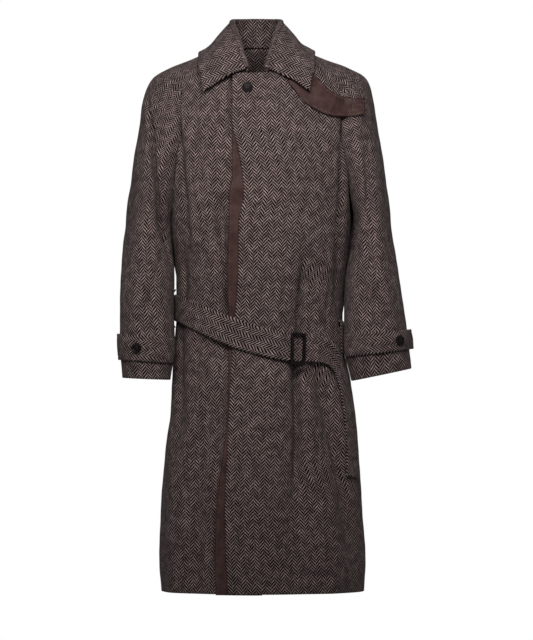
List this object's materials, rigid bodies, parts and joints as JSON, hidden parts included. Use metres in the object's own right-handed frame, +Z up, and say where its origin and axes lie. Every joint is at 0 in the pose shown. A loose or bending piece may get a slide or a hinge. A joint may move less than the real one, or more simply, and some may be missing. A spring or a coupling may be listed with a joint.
{
  "type": "balmacaan coat",
  "caption": "Long belted raglan coat in herringbone tweed, with a turned-down collar, a concealed fly with a leather placket, a leather shoulder strap and cuff straps, in its worn form.",
  "frame": {"origin": "between the shoulders at the base of the neck, where the wearer's shoulders hold the coat up", "axes": "+Z up along the wearer, the front of the coat towards -Y, the wearer's left side towards +X"},
  "size_m": [0.592, 0.3807, 1.1447],
  "materials": {
    "tweed": "dark brown and pale herringbone wool tweed",
    "leather": "smooth dark brown leather with a soft sheen",
    "buckle_leather": "nearly black leather cover",
    "horn": "dark brown horn with a satin polish"
  },
  "bodies": {
    "root": {"front_left": "tweed", "front_right": "tweed", "back": "tweed", "sleeve_left_front": "tweed", "sleeve_left_back": "tweed", "sleeve_right_front": "tweed", "sleeve_right_back": "tweed", "collar": "tweed", "belt": "tweed", "belt_loop_left": "tweed", "belt_loop_right": "tweed", "cuff_strap_left": "tweed", "cuff_strap_right": "tweed", "fly_placket": "leather", "shoulder_strap": "leather", "buckle": "buckle_leather", "button_top": "horn", "button_fly_1": "horn", "button_fly_2": "horn", "button_fly_3": "horn", "button_cuff_left": "horn", "button_cuff_right": "horn"}
  },
  "joints": []
}
